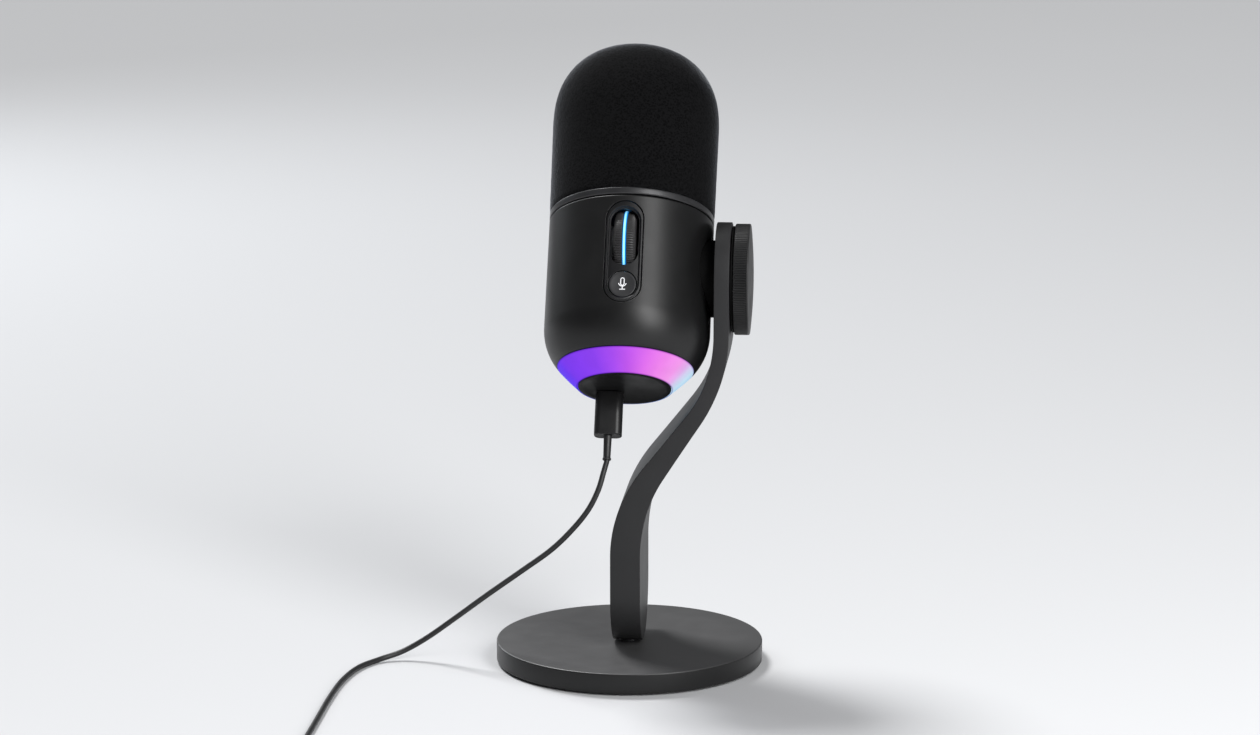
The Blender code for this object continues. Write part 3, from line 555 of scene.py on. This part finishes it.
def make_cable():
    """The free run down to the desk and along it, the wound-up rest, and both plugs."""
    plug_place = BODY @ Matrix.Translation(Vector((SOCKET_X, SOCKET_Y, -PIVOT_H)) * MM)
    back = (BODY.to_3x3() @ Vector((0, 0, 1))).normalized()
    first, last = Vector(CABLE_ROUTE[0]), Vector(CABLE_ROUTE[-1])
    run = [first + back * 3.0, first + back * 1.5] + through(CABLE_ROUTE, 2.0)
    straight_on = [last - Vector((0, ahead, 0)) for ahead in (2.9, 5.4, 7.9)]
    tail_y = COIL_Y - COIL_MIDDLE - (COIL_ACROSS - 1) * CABLE_RADIUS
    plug_z = PLUG_DEEP / 2 + 0.1
    tail = ((3.0, 7.8), (10.6, 7.75), (15.0, 6.7), (20.0, 4.5), (25.3, plug_z), (28.0, plug_z))
    line = run + straight_on + coil_points() + through([(COIL_X + x, tail_y, z) for x, z in tail], 2.0)
    cable = tube("cable", line, CABLE_RADIUS, "sheath")
    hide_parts("usb_cable", "usb_cable_coil", "usb_cable_tail")
    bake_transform(cable)
    mic_plug, mic_sleeve = make_plug("mic_plug", "mic", plug_place)
    host_place = (Matrix.Translation(Vector((COIL_X + HOST_PLUG_X, tail_y, plug_z)) * MM)
                  @ Matrix(((0, 0, 1, 0), (1, 0, 0, 0), (0, 1, 0, 0), (0, 0, 0, 1))))
    host_plug, host_sleeve = make_plug("host_plug", "stand", host_place)
    tie = make_tie()


def make_tie():
    """A flat reusable tie round one place of the coil."""
    half_wide, thick, corner = 2.6, 0.45, 0.8
    reach = COIL_ACROSS * CABLE_RADIUS + 0.15 - corner
    near, far = COIL_MIDDLE - reach, COIL_MIDDLE + reach
    low, high = 0.95, 2 * CABLE_RADIUS * COIL_LAYERS + 0.35 - corner
    loops = []
    for top_round in (corner, corner + thick):
        foot_round = min(top_round, 0.9)
        loops.append(arc(far, high, top_round, 0, 90, 6) + arc(near, high, top_round, 90, 180, 6)
                     + arc(near, low, foot_round, 180, 270, 6) + arc(far, low, foot_round, 270, 360, 6))
    inside, outside = loops
    rings = [[(x, side, z) for x, z in loop] for side, loop in
             ((-half_wide, inside), (-half_wide, outside), (half_wide, outside), (half_wide, inside))]
    matrix = Matrix.Translation(Vector((COIL_X, COIL_Y, 0)) * MM) @ Matrix.Rotation(math.radians(35), 4, "Z")
    return finish_piece(skin("cable_tie", rings, "sheath", matrix, closed=True), "stand", "cable_sheath")


make_cable()


# ------------------------------------------------------------------ base and arm


def make_base():
    """The weighted disc with a small round on both rims, and its ribbed rubber foot."""
    top_round, low_round, inside = 0.55, 0.6, PAD_RADIUS + GAP
    profile = ([(0, BASE_TOP), (20, BASE_TOP), (40, BASE_TOP)]
               + arc(BASE_RADIUS - top_round, BASE_TOP - top_round, top_round, 90, 0, 5)
               + arc(BASE_RADIUS - low_round, BASE_LOW + low_round, low_round, 0, -90, 5)
               + [(inside, BASE_LOW), (inside, PAD_TOP + 0.5), (0, PAD_TOP + 0.5)])
    finish_piece(lathe("base_plate", profile, "stand", 224), "stand", "stand_coat", "base_disc")
    profile = [(0, PAD_TOP), (PAD_RADIUS - 0.3, PAD_TOP), (PAD_RADIUS, PAD_TOP - 0.3), (PAD_RADIUS, 0.25),
               (PAD_RADIUS - 0.25, 0.0)]
    for groove in (44.0, 36.5, 29.0, 21.5, 14.0):
        profile += [(groove + 2.0, 0.0), (groove + 1.6, 0.35), (groove + 0.4, 0.35), (groove, 0.0)]
    foot = lathe("base_foot", profile + [(0, 0.0)], "rubber", 160)
    finish_piece(foot, "stand", "foot_rubber", "foot_pad")


def arm_line():
    """Returns place(z): the ribbon's middle x, its lean and its half thickness at a height on that line."""
    rise = ARM_BEND * math.sin(ARM_LEAN)
    aside = ARM_BEND * (1 - math.cos(ARM_LEAN))
    run = (ARM_OFFSET - 2 * aside) / math.sin(ARM_LEAN)
    first_end = ARM_FIRST_BEND + rise
    second = first_end + run * math.cos(ARM_LEAN)
    end = second + rise

    def place(z):
        if z <= ARM_FIRST_BEND:
            x, lean = 0.0, 0.0
        elif z <= first_end:
            lean = math.asin((z - ARM_FIRST_BEND) / ARM_BEND)
            x = ARM_BEND * (1 - math.cos(lean))
        elif z <= second:
            lean = ARM_LEAN
            x = aside + (z - first_end) * math.tan(ARM_LEAN)
        elif z <= end:
            lean = math.asin((end - z) / ARM_BEND)
            x = ARM_OFFSET - ARM_BEND * (1 - math.cos(lean))
        else:
            x, lean = ARM_OFFSET, 0.0
        taper = eased((z - TAPER_FROM) / (TAPER_TO - TAPER_FROM))
        return x, lean, (ARM_FOOT_THICK + (ARM_HEAD_THICK - ARM_FOOT_THICK) * taper) / 2

    return place


def make_arm():
    """The ribbon as loops that step in from its outline, so that its edge is one even round."""
    place = arm_line()
    half, edge, count = ARM_WIDTH / 2, 0.32, 110
    head, foot = PIVOT_Z, ARM_FOOT_END + half
    around = [("head", a) for a in range(0, 180, 6)]
    around += [("left", head + (foot - head) * i / count) for i in range(count)]
    around += [("foot", a) for a in range(180, 360, 6)]
    around += [("right", foot + (head - foot) * i / count) for i in range(count)]
    steps_in = arc(edge, edge, edge, 180, 270, 5) + [(inset, 0.0) for inset in (3.0, 7.0, 12.0, 17.0, 20.5)]
    loops = []
    points = []
    for sign in (1, -1):
        for inset, drop in (steps_in[::-1] if sign > 0 else steps_in):
            radius = half - inset
            loops.append(list(range(len(points), len(points) + len(around))))
            for part, value in around:
                if part in ("head", "foot"):
                    angle = math.radians(value)
                    y = radius * math.cos(angle)
                    z = (head if part == "head" else foot) + radius * math.sin(angle)
                else:
                    y = -radius if part == "left" else radius
                    z = value
                x, lean, thick = place(z)
                out = sign * (thick - drop)
                points.append((x + out * math.cos(lean), y, z - out * math.sin(lean)))
    faces = bands(loops)
    for loop in (loops[0], loops[-1]):
        head_run, left, foot_run, right = (
            [point for point, (part, value) in zip(loop, around, strict=True) if part == wanted]
            for wanted in ("head", "left", "foot", "right"))
        left.append(foot_run[0])
        right.append(loop[0])
        faces += [[left[i], left[i + 1], right[count - i - 1], right[count - i]] for i in range(count)]
        faces += [head_run + [left[0]], foot_run + [right[0]]]
    arm = piece("arm_ribbon", points, faces, "arm")
    shape = bmesh.new()
    shape.from_mesh(arm.data)
    everything = list(shape.verts) + list(shape.edges) + list(shape.faces)
    cutting = bmesh.ops.bisect_plane(shape, geom=everything, plane_co=(0, 0, ARM_FOOT_FLAT * MM),
                                     plane_no=(0, 0, -1), clear_outer=True)
    edges = [e for e in cutting["geom_cut"] if isinstance(e, bmesh.types.BMEdge)]
    bmesh.ops.holes_fill(shape, edges=edges)
    shape.to_mesh(arm.data)
    shape.free()
    cut(arm, slab("tool", circle(STUD_RADIUS + 0.5, 0, 48), ARM_OFFSET - 10, ARM_OFFSET + 10, "arm", PIVOT))
    finish_piece(arm, "stand", "arm_coat", "stand_arm")


def round_disc(name, bore, radius, low, high, edge):
    """A washer on the pivot's axis with rounded outer edges."""
    profile = ([(bore, high)] + arc(radius - edge, high - edge, edge, 90, 0, 4)
               + arc(radius - edge, low + edge, edge, 0, -90, 4) + [(bore, low)])
    # Washers take the near-black coat, painted shade for the dark slits at the pivot.
    return lathe(name, profile, "slit_shade", 144, closed=True, matrix=PIVOT)


def make_knob():
    """The knob with fine ribs round its rim and a slightly crowned face, its washer and the friction disc."""
    ribs, rib_depth = 138, 0.4
    rise = KNOB_CROWN - KNOB_RIM
    profile = [(KNOB_RADIUS * k / 16, KNOB_CROWN - rise * (k / 16) ** 2) for k in range(16)]
    profile += [(KNOB_RADIUS - 0.45, KNOB_RIM + 0.05), (KNOB_RADIUS - 0.12, KNOB_RIM - 0.08),
                (KNOB_RADIUS, KNOB_RIM - 0.3), (KNOB_RADIUS, KNOB_RIM - 0.55)]
    ribbed = len(profile)
    profile += [(KNOB_RADIUS - 0.02, KNOB_RIM - 0.65), (KNOB_RADIUS - 0.02, KNOB_IN + 0.4)]
    plain = len(profile)
    bore = STUD_RADIUS + GAP
    profile += [(KNOB_RADIUS - 0.1, KNOB_IN + 0.2), (KNOB_RADIUS - 0.35, KNOB_IN), (bore, KNOB_IN),
                (bore, STUD_END + GAP), (0, STUD_END + GAP)]

    def rib(radius, height, angle, row):
        if not ribbed <= row < plain:
            return radius, height
        wave = 0.5 + 0.5 * math.cos(ribs * angle)
        return radius - rib_depth * (1 - min(1.0, 1.5 * wave)), height

    knob = lathe("clamp_knob_body", profile, "knob", ribs * 6, matrix=PIVOT, warp=rib)
    finish_piece(knob, "clamp_knob", "knob_coat", "clamp_knob")
    face = ARM_OFFSET + ARM_HEAD_THICK / 2 + GAP
    washer = round_disc("clamp_washer_disc", STUD_RADIUS + 0.4, WASHER_RADIUS, face, KNOB_IN - GAP, 0.2)
    finish_piece(washer, "clamp_carrier", "washer_steel", "clamp_washer")
    friction = round_disc("friction_disc", STUD_RADIUS + 0.6, FRICTION_RADIUS, RECESS_FLOOR + GAP,
                          ARM_OFFSET - ARM_HEAD_THICK / 2 - GAP, 0.4)
    finish_piece(friction, "mic", "washer_rubber", "friction_washer")


# ------------------------------------------------------------------ body


def at_height(profile):
    """Turns heights on the body into local heights."""
    return [(radius, height - PIVOT_H) for radius, height in profile]


def shell_side(inset, top, pieces):
    """The shell's straight side from top and the curve below it, moved inwards by inset."""
    sweep = math.degrees(math.acos(1 - (BODY_RADIUS - BODY_FOOT_RADIUS) / CURVE_RADIUS))
    centre = BODY_FOOT_H + CURVE_RADIUS * math.sin(math.radians(sweep))
    curve = arc(BODY_RADIUS - CURVE_RADIUS, centre, CURVE_RADIUS - inset, 0, -sweep, pieces)
    return [(BODY_RADIUS - inset, top)] + curve


def make_shell():
    """The body's lower half, with the pivot's recess, the bore for its insert and the inlay's opening."""
    steps = 224
    curve = shell_side(0.0, BODY_TOP, 26)[1:]
    foot_radius, foot = curve.pop()
    outside = ([(0, BODY_TOP), (BODY_RADIUS - 0.9, BODY_TOP), (BODY_RADIUS - 0.35, BODY_TOP - 0.12),
                (BODY_RADIUS, BODY_TOP - 0.5)]
               + [(BODY_RADIUS, height) for height in (63.0, 56.0, 48.0, 40.0, 33.0)] + curve
               + [(foot_radius + 0.1, foot + 0.25), (foot_radius - 0.2, foot), (0, foot)])
    shell = lathe("shell", at_height(outside), "body", steps, matrix=BODY, sharp=40, start=math.pi / steps)
    inside = shell_side(BODY_WALL, BODY_TOP + 2, 8)
    inside_radius, low = inside[-1][0] - 4, inside[-1][1] - 4
    inside = [(0, BODY_TOP + 2)] + inside + [(inside_radius, low), (0, low)]
    cavity = lathe("cavity", at_height(inside), "body", 72, matrix=BODY, start=0.02)
    sideways = BODY @ ALONG_X
    cut(cavity, slab("pad", circle(RECESS_RADIUS + 3.0, 1, 56), PAD_FACE, 50.0, "body", sideways))
    recess = slab("recess", circle(RECESS_RADIUS, 2, 160), RECESS_FLOOR, 41.0, "body", sideways)
    bore = slab("bore", circle(BORE_RADIUS, 3, 64), 18.0, 42.0, "body", sideways)
    mouth = stadium(PANEL_WIDE + 2 * GAP, PANEL_TALL + 2 * GAP, PANEL_H - PIVOT_H)
    cut(shell, cavity, recess, bore, slab("opening", mouth, 26.0, 40.0, "body", BODY @ OUT_FRONT))
    soften(shell, 0.24, 32.0, clamp=False)
    finish_piece(shell, "mic", "body_coat", "body_shell")


def wrap(obj, radius, reach, pitch):
    """Lays a flat piece, with local Z outwards, round an upright cylinder of that radius."""
    shape = bmesh.new()
    shape.from_mesh(obj.data)
    for k in range(-int(reach / pitch), int(reach / pitch) + 1):
        everything = list(shape.verts) + list(shape.edges) + list(shape.faces)
        line = (k + 0.37) * pitch * MM
        bmesh.ops.bisect_plane(shape, geom=everything, plane_co=(line, 0, 0), plane_no=(1, 0, 0))
    for vert in shape.verts:
        vert.co.z += math.sqrt((radius * MM) ** 2 - vert.co.x ** 2)
    shape.to_mesh(obj.data)
    shape.free()


def make_panel():
    """The oval inlay: a rim round a shallow dip with the wheel's slot and the key's round hole."""
    depth, flare = PANEL_FACE - DIP_FACE, 1.2
    middle = DIP_H - PIVOT_H
    panel = slab("inlay", stadium(PANEL_WIDE, PANEL_TALL, PANEL_H - PIVOT_H, 24), -2.2, 0.0, "panel")
    dip = slab("dip", stadium(DIP_WIDE, DIP_TALL, middle, 24), -depth, depth / 2, "panel",
               mouth=stadium(DIP_WIDE + flare, DIP_TALL + flare, middle, 24))
    slot = slab("slot", stadium(SLOT_WIDE, SLOT_TALL, WHEEL_H - PIVOT_H, 24), -4, 4, "panel")
    hole = slab("hole", circle(BUTTON_RADIUS + GAP, 2, 72, BUTTON_H - PIVOT_H), -4, 4, "panel")
    cut(panel, dip, slot, hole)
    soften(panel, 0.16, 30.0)
    bake(panel)
    wrap(panel, PANEL_FACE, PANEL_WIDE / 2, 1.0)
    tidy(panel, 40.0)
    panel.modifiers.new("even_shading", "WEIGHTED_NORMAL").keep_sharp = True
    panel.matrix_world = BODY @ OUT_FRONT
    finish_piece(panel, "mic", "panel_plastic", "control_panel")


def make_wheel():
    """Two ribbed halves and the lit band between them."""
    axis = BODY @ Matrix.Translation(Vector((0, WHEEL_Y, WHEEL_H - PIVOT_H)) * MM) @ ALONG_X
    half, band, bore, rim = WHEEL_WIDE / 2, BAND_WIDE / 2, 1.8, WHEEL_RADIUS
    start = band + 0.25
    ribs, rib_depth = 92, 0.42
    profile = [(bore, half), (rim - 2.2, half), (rim - 1.5, half - 0.12), (rim - 0.8, half - 0.5),
               (rim - 0.32, half - 1.15), (rim - 0.06, half - 2.0), (rim, start + 0.3), (rim - 0.3, start),
               (bore, start)]

    def rib(radius, height, angle, row):
        if not 3 <= row <= 6:
            return radius, height
        wave = 0.5 + 0.5 * math.cos(ribs * angle)
        return radius - rib_depth * (1 - min(1.0, 1.5 * wave)), height

    for name, matrix in (("right", axis), ("left", axis @ Matrix.Rotation(math.pi, 4, "X"))):
        wheel = lathe("wheel_" + name, profile, "wheel", ribs * 6, closed=True, matrix=matrix, warp=rib)
        finish_piece(wheel, "gain_wheel", "wheel_plastic", "gain_wheel_" + name)
    profile = [(bore, band), (rim - 0.25, band), (rim + 0.02, band - 0.2), (rim + 0.08, 0.0),
               (rim + 0.02, 0.2 - band), (rim - 0.25, -band), (bore, -band)]
    light = lathe("wheel_light", profile, "blue", 160, closed=True, matrix=axis)
    finish_piece(light, "gain_wheel", "blue_light", "gain_light_band")


def dish(radius):
    """How far the key's face lies below its rim."""
    share = min(1.0, radius / (BUTTON_RADIUS - 0.5))
    return 0.38 * (1 - share * share)


def make_button():
    """The key under the wheel, with a microphone printed on its dished face."""
    front = BODY @ Matrix.Translation(Vector((0, 0, BUTTON_H - PIVOT_H)) * MM) @ OUT_FRONT
    face, line_wide, line_half_thick = DIP_FACE - 0.1, 0.34, 0.03
    profile = [(radius, face - dish(radius)) for radius in (BUTTON_RADIUS * k / 12 for k in range(11))]
    profile += arc(BUTTON_RADIUS - 0.25, face - 0.25, 0.25, 80, 0, 4)
    profile += [(BUTTON_RADIUS, face - 2.4), (1.6, face - 2.4), (1.6, face - 3.1), (0, face - 3.1)]
    button = lathe("mute_key", profile, "button", 96, matrix=front)
    finish_piece(button, "mute_button", "button_plastic", "mute_button")

    def stroke(name, line, closed=False):
        """A printed line: a thin flat strip that follows the dished face."""
        rings = []
        for i, (x, y) in enumerate(line):
            if closed:
                before, after = line[i - 1], line[(i + 1) % len(line)]
            else:
                before, after = line[max(i - 1, 0)], line[min(i + 1, len(line) - 1)]
            ahead = Vector(after) - Vector(before)
            side = Vector((-ahead.y, ahead.x)).normalized() * line_wide / 2
            (x0, y0), (x1, y1) = (x - side.x, y - side.y), (x + side.x, y + side.y)
            z0, z1 = face - dish(math.hypot(x0, y0)), face - dish(math.hypot(x1, y1))
            rings.append([(x0, y0, z0 + line_half_thick), (x1, y1, z1 + line_half_thick),
                          (x1, y1, z1 - line_half_thick), (x0, y0, z0 - line_half_thick)])
        # The strips take the print's coat, whose emission is a painted glow.
        mark = skin(name, rings, "glowing_print", front, closed=closed, ends=not closed)
        finish_piece(mark, "mute_button", "button_plastic")

    def straight(x0, y0, x1, y1):
        return [(x0 + (x1 - x0) * i / 6, y0 + (y1 - y0) * i / 6) for i in range(7)]

    stroke("mark_head", stadium(1.35, 3.0, 1.15, 12), closed=True)
    stroke("mark_cradle", arc(0, 0.75, 1.5, 190, 350, 20))
    stroke("mark_stem", straight(0, -0.72, 0, -1.9))
    stroke("mark_foot", straight(-1.15, -2.05, 1.15, -2.05))


def make_lower_end():
    """The lit cone, with both edges rounded over, and the flat end cap with its socket opening."""
    low, high, thick = (END_RADIUS + GAP, LIT_LOW), (BODY_FOOT_RADIUS - 0.15, LIT_HIGH), 2.8
    run = Vector((high[0] - low[0], high[1] - low[1]))
    out = Vector((run.y, -run.x)).normalized()
    outer = []
    for k in range(13):
        t = 1 - k / 12
        swell = 0.12 * math.sin(math.pi * t)
        outer.append((low[0] + run.x * t + out.x * swell, low[1] + run.y * t + out.y * swell))
    profile = [(high[0] - thick, high[1])] + outer + [(low[0] - 0.6, low[1] + 2.4)]
    ring = lathe("lit_ring", at_height(profile), "ring", 192, closed=True, matrix=BODY, sharp=50)
    finish_piece(ring, "mic", "light_diffuser", "light_ring")
    back, edge = END_RADIUS - 0.7, END_RADIUS - 0.05
    profile = ([(0, 2.2), (back - 0.3, 2.2), (back, 1.9), (edge, 0.75)]
               + arc(edge - 0.45, 0.45, 0.45, 0, -90, 5) + [(edge - 2.2, 0.0), (edge - 2.4, 0.12), (0, 0.12)])
    cap = lathe("end_cap", at_height(profile), "cap", 144, matrix=BODY)
    port = [(x + SOCKET_X, y + SOCKET_Y) for y, x in stadium(3.6, 9.6)][::-1]
    cut(cap, slab("port", port, -PIVOT_H - 3, -PIVOT_H + 5, "cap", BODY))
    finish_piece(cap, "mic", "cap_plastic", "bottom_cap")


def make_trim():
    """The band over the seam: a rounded upper lip and a plain side."""
    top, low, outer = RING_TOP, RING_LOW, BODY_RADIUS
    profile = ([(30.4, top - 0.4), (outer - 0.75, top)] + arc(outer - 0.35, top - 0.4, 0.4, 100, 0, 5)
               + [(outer + 0.05, top - 1.0), (outer, low + 0.3), (outer - 0.25, low), (30.4, low)])
    trim = lathe("seam_band", at_height(profile), "trim", 256, closed=True, matrix=BODY)
    finish_piece(trim, "mic", "trim_coat", "trim_ring")


def dome(radius, pieces):
    """A squarish dome's (radius, height) from its tip down to its foot."""
    angles = [math.pi / 2 * (1 - i / pieces) for i in range(1, pieces + 1)]
    side = [(math.cos(a) ** SQUARENESS, math.sin(a) ** SQUARENESS) for a in angles]
    return [(0.0, FOAM_DOME_H + radius)] + [(radius * x, FOAM_DOME_H + radius * z) for x, z in side]


def make_foam():
    """The windscreen: a soft dome whose surface is uneven at the size of its cells."""
    foot, foot_radius, rows = RING_TOP + GAP, BODY_RADIUS + 0.1, 46
    outer = dome(FOAM_RADIUS, 63)
    for i in range(1, rows + 1):
        share = i / rows
        tuck = 0.35 * max(0.0, (share - 0.97) / 0.03)
        outer.append((FOAM_RADIUS + (foot_radius - FOAM_RADIUS) * share - tuck,
                      FOAM_DOME_H + (foot - FOAM_DOME_H) * share))
    inner = [(foot_radius - FOAM_WALL, foot)] + dome(FOAM_RADIUS - FOAM_WALL, 10)[::-1]
    last_outer = len(outer)

    def uneven(radius, height, angle, row):
        if row >= last_outer or radius < 0.5:
            return radius, height
        spot = Vector((radius * math.cos(angle), radius * math.sin(angle), height))
        bump = 0.07 * noise.noise(spot / 0.9) + 0.05 * noise.noise(spot / 2.2)
        return radius + bump, height

    foam = lathe("windscreen", at_height(outer + inner), "foam", 300, matrix=BODY, warp=uneven, sharp=70)
    foam.data.transform(foam.matrix_world)
    foam.matrix_world = Matrix.Identity(4)
    finish_piece(foam, "mic", "windscreen_foam", "windscreen_foam")


make_base()
make_arm()
make_knob()
make_shell()
make_panel()
make_wheel()
make_button()
make_lower_end()
make_trim()
make_foam()


# ------------------------------------------------------------------ carried-over CAD nodes

KEPT = {
    "dark_steel": ("arm_spacer",),
    "steel": ("base_screw_front", "base_screw_rear", "clamp_stud", "usb_socket", "chassis", "gain_axle",
              "wheel_bracket", "mic_plug_tongue", "host_plug_tongue"),
    "brass": ("pivot_insert", "capsule"),
    "rubber": ("shock_mount",),
    "board": ("led_board", "main_board", "control_board"),
    "inner": ("mute_switch", "bulkhead", "gain_encoder", "capsule_holder"),
    "grille": ("grille_basket",),
}
for coat, names in KEPT.items():
    for name in names:
        materials = NODES[name].data.materials
        materials.clear()
        materials.append(COATS[coat])


# ------------------------------------------------------------------ studio


def make_floor():
    material, tree, shader, where = nodes_of("pale_floor")
    patches = add(tree, "ShaderNodeTexNoise", Vector=where, Scale=1.1, Detail=1.0)
    colour = ramp(tree, ((0.3, (0.62, 0.625, 0.635)), (0.7, (0.63, 0.635, 0.645))), patches.outputs["Fac"])
    feed(shader, Base_Color=colour, Roughness=0.75, Specular_IOR_Level=0.12)
    mesh = bpy.data.meshes.new("floor")
    reach = 12.0
    low = -0.05 * MM
    corners = [(x * reach, y * reach, low) for x, y in ((-1, -1), (1, -1), (1, 1), (-1, 1))]
    mesh.from_pydata(corners, [], [(0, 1, 2, 3)])
    floor = bpy.data.objects.new("floor", mesh)
    floor.data.materials.append(material)
    bpy.context.scene.collection.objects.link(floor)


def area_light(name, place, aim, width, height, power, colour=(1, 1, 1)):
    light = bpy.data.lights.new(name, "AREA")
    light.shape = "RECTANGLE"
    light.size = width
    light.size_y = height
    light.energy = power
    light.color = colour
    obj = bpy.data.objects.new(name, light)
    bpy.context.scene.collection.objects.link(obj)
    obj.location = place
    obj.rotation_euler = (Vector(place) - Vector(aim)).to_track_quat("Z", "Y").to_euler()


def make_studio():
    world = bpy.data.worlds.new("studio")
    bpy.context.scene.world = world
    world.use_nodes = True
    background = world.node_tree.nodes["Background"]
    background.inputs["Color"].default_value = (0.9, 0.92, 0.96, 1)
    background.inputs["Strength"].default_value = 0.12
    middle = (0, 0, 0.13)
    sun = bpy.data.lights.new("overhead", "SUN")
    sun.energy = 2.7
    sun.angle = math.radians(17)
    overhead = bpy.data.objects.new("overhead", sun)
    bpy.context.scene.collection.objects.link(overhead)
    overhead.rotation_euler = Vector((-0.42, 0.5, 1.0)).to_track_quat("Z", "Y").to_euler()
    area_light("front_right", (0.78, -0.98, 0.82), middle, 0.6, 1.15, 21)
    area_light("left_back", (-1.2, 1.25, 0.95), middle, 0.6, 1.0, 11, (0.93, 0.96, 1.0))
    view = bpy.context.scene.view_settings
    view.view_transform = "Standard"
    view.look = "None"


make_floor()
make_studio()

bpy.context.view_layer.update()
